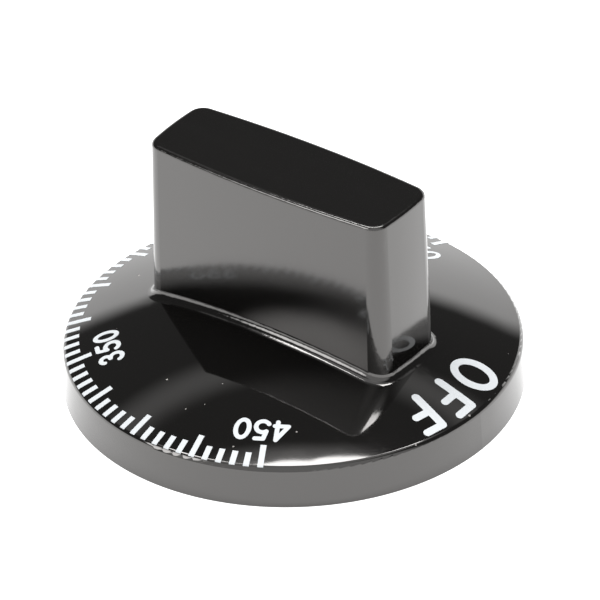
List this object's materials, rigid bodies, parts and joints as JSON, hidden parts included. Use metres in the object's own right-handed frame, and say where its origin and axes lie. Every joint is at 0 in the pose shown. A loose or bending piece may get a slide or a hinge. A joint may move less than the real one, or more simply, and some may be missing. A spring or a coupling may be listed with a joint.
{
  "type": "griddle control knob",
  "caption": "Round domed dial with a flat-topped bar grip across it and a printed temperature scale, pushed onto a D-shaft from below.",
  "frame": {"origin": "centre of the rim's underside, on the axis of the shaft", "axes": "+Z points away from the appliance's panel, X runs along the grip with the off end at +X, Y runs across the grip"},
  "size_m": [0.0634, 0.0634, 0.0343],
  "materials": {
    "black_phenolic": "polished moulded black phenolic",
    "spring_steel": "rolled and tempered strip",
    "white_ink": "pad-printed white ink"
  },
  "bodies": {
    "root": {"knob_body": "black_phenolic", "shaft_spring": "spring_steel"}
  },
  "joints": []
}
